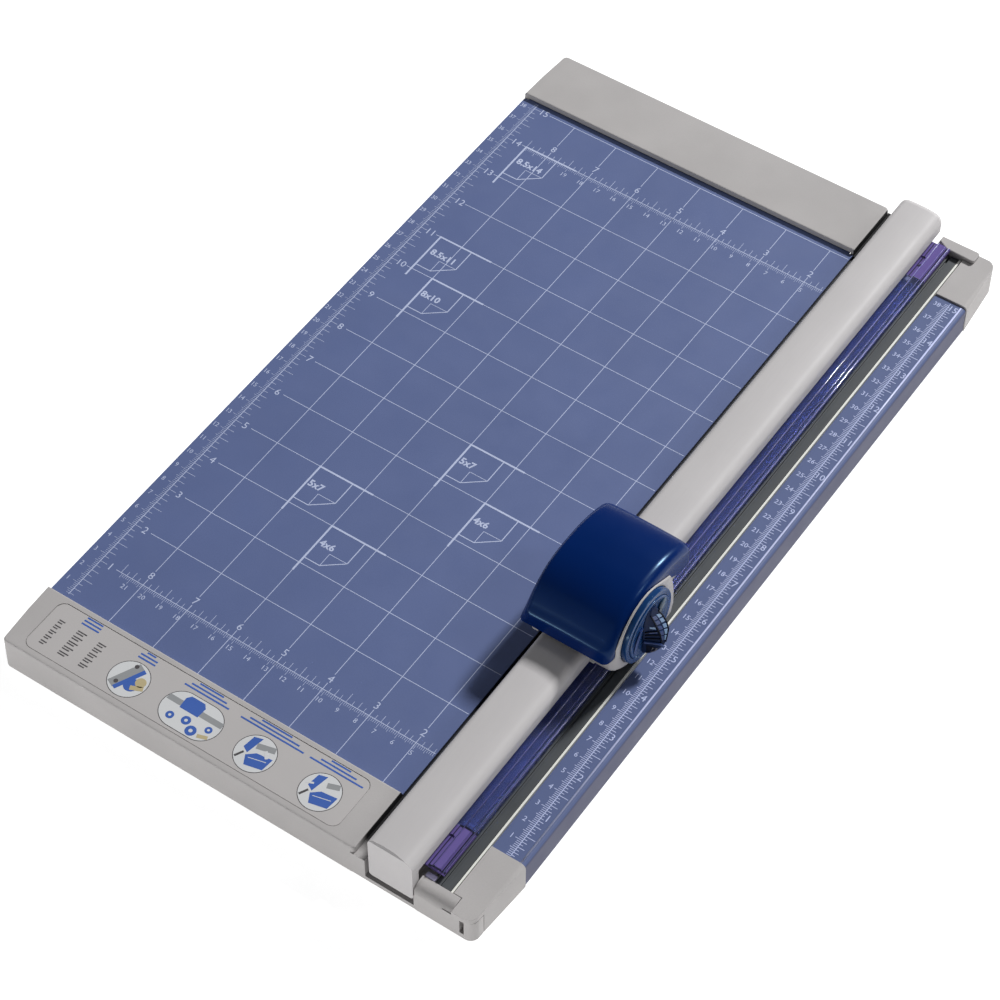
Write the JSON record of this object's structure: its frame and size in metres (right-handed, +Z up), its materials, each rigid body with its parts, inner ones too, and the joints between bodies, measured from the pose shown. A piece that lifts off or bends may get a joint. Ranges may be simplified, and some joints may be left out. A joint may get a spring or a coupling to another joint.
{
  "type": "rotary paper trimmer",
  "caption": "Flat ruled cutting bed with end caps, a sprung rail that clamps the paper and a sliding head whose round blade rolls along a cutting strip.",
  "frame": {"origin": "centre of the bounding box's footprint, on the surface that the feet stand on", "axes": "+Y along the rail away from the paper fence's near end, +X across the bed towards the side ruler, +Z up"},
  "size_m": [0.262, 0.4576, 0.0636],
  "materials": {
    "cap_plastic": "fine-grained warm grey moulding",
    "rail_plastic": "satin light grey moulding",
    "bed_paint": "satin blue-grey paint on steel sheet",
    "label_film": null,
    "mat_slate": "dark slate self-healing strip",
    "groove_white": "white moulding",
    "clamp_blue": "clear violet-blue strip",
    "lilac_clip": "pale lilac clip",
    "head_grey": "warm grey moulding",
    "cover_navy": "deep navy gloss",
    "smoke_blue": "smoked dark blue",
    "shoe_white": "white low-friction moulding",
    "foot_rubber": "matt black rubber",
    "bright_steel": "bright steel",
    "zinc_plate": "zinc-plated steel"
  },
  "bodies": {
    "base": {"base_plate": "bed_paint", "near_end_cap": "cap_plastic", "far_end_cap": "cap_plastic", "label_panel": "label_film", "side_rail": "bed_paint", "near_corner_cap": "cap_plastic", "far_corner_cap": "cap_plastic", "far_mat_stop": "cap_plastic", "mat_channel": "groove_white", "cutting_mat": "mat_slate", "clamp_end_clip": "lilac_clip", "foot_near_left": "foot_rubber", "foot_far_left": "foot_rubber", "foot_near_right": "foot_rubber", "foot_far_right": "foot_rubber", "base_screw_1": "zinc_plate", "base_screw_2": "zinc_plate", "base_screw_3": "zinc_plate", "base_screw_4": "zinc_plate", "near_guide_pin": "bright_steel", "far_guide_pin": "bright_steel", "near_rail_spring": "bright_steel", "far_rail_spring": "bright_steel"},
    "rail": {"rail_cover": "rail_plastic", "guide_core": "zinc_plate", "paper_clamp": "clamp_blue"},
    "carriage": {"slider_shoe": "shoe_white", "near_head_spring": "bright_steel", "far_head_spring": "bright_steel"},
    "head": {"head_body": "head_grey", "handle_cover": "cover_navy", "cartridge_housing": "smoke_blue", "blade_axle": "bright_steel"},
    "blade": {"blade": "bright_steel"},
    "knob": {"cartridge_knob": "smoke_blue"}
  },
  "joints": [
    {"name": "rail_press", "type": "slide", "parent": "base", "child": "rail", "axis": [0, 0, -1], "range_m": [0, 0.0018], "stiffness_N_per_m": 3000, "springref_m": -0.004, "deforming": ["near_rail_spring", "far_rail_spring"]},
    {"name": "carriage_slide", "type": "slide", "parent": "rail", "child": "carriage", "axis": [0, 1, 0], "range_m": [-0.127, 0.259]},
    {"name": "head_press", "type": "slide", "parent": "carriage", "child": "head", "axis": [0, 0, -1], "range_m": [0, 0.0012], "stiffness_N_per_m": 2500, "springref_m": -0.002, "deforming": ["near_head_spring", "far_head_spring"]},
    {"name": "blade_spin", "type": "hinge", "parent": "head", "child": "blade", "pos_m": [0.1065, -0.0716, 0.033], "axis": [1, 0, 0], "continuous": true},
    {"name": "cartridge_lock", "type": "hinge", "parent": "head", "child": "knob", "pos_m": [0.1145, -0.0716, 0.0412], "axis": [1, 0, 0], "range_deg": [-45, 0]}
  ],
  "couplings": [
    {"joint": "blade_spin", "follows": "carriage_slide", "rad_per_m": -71.429}
  ]
}
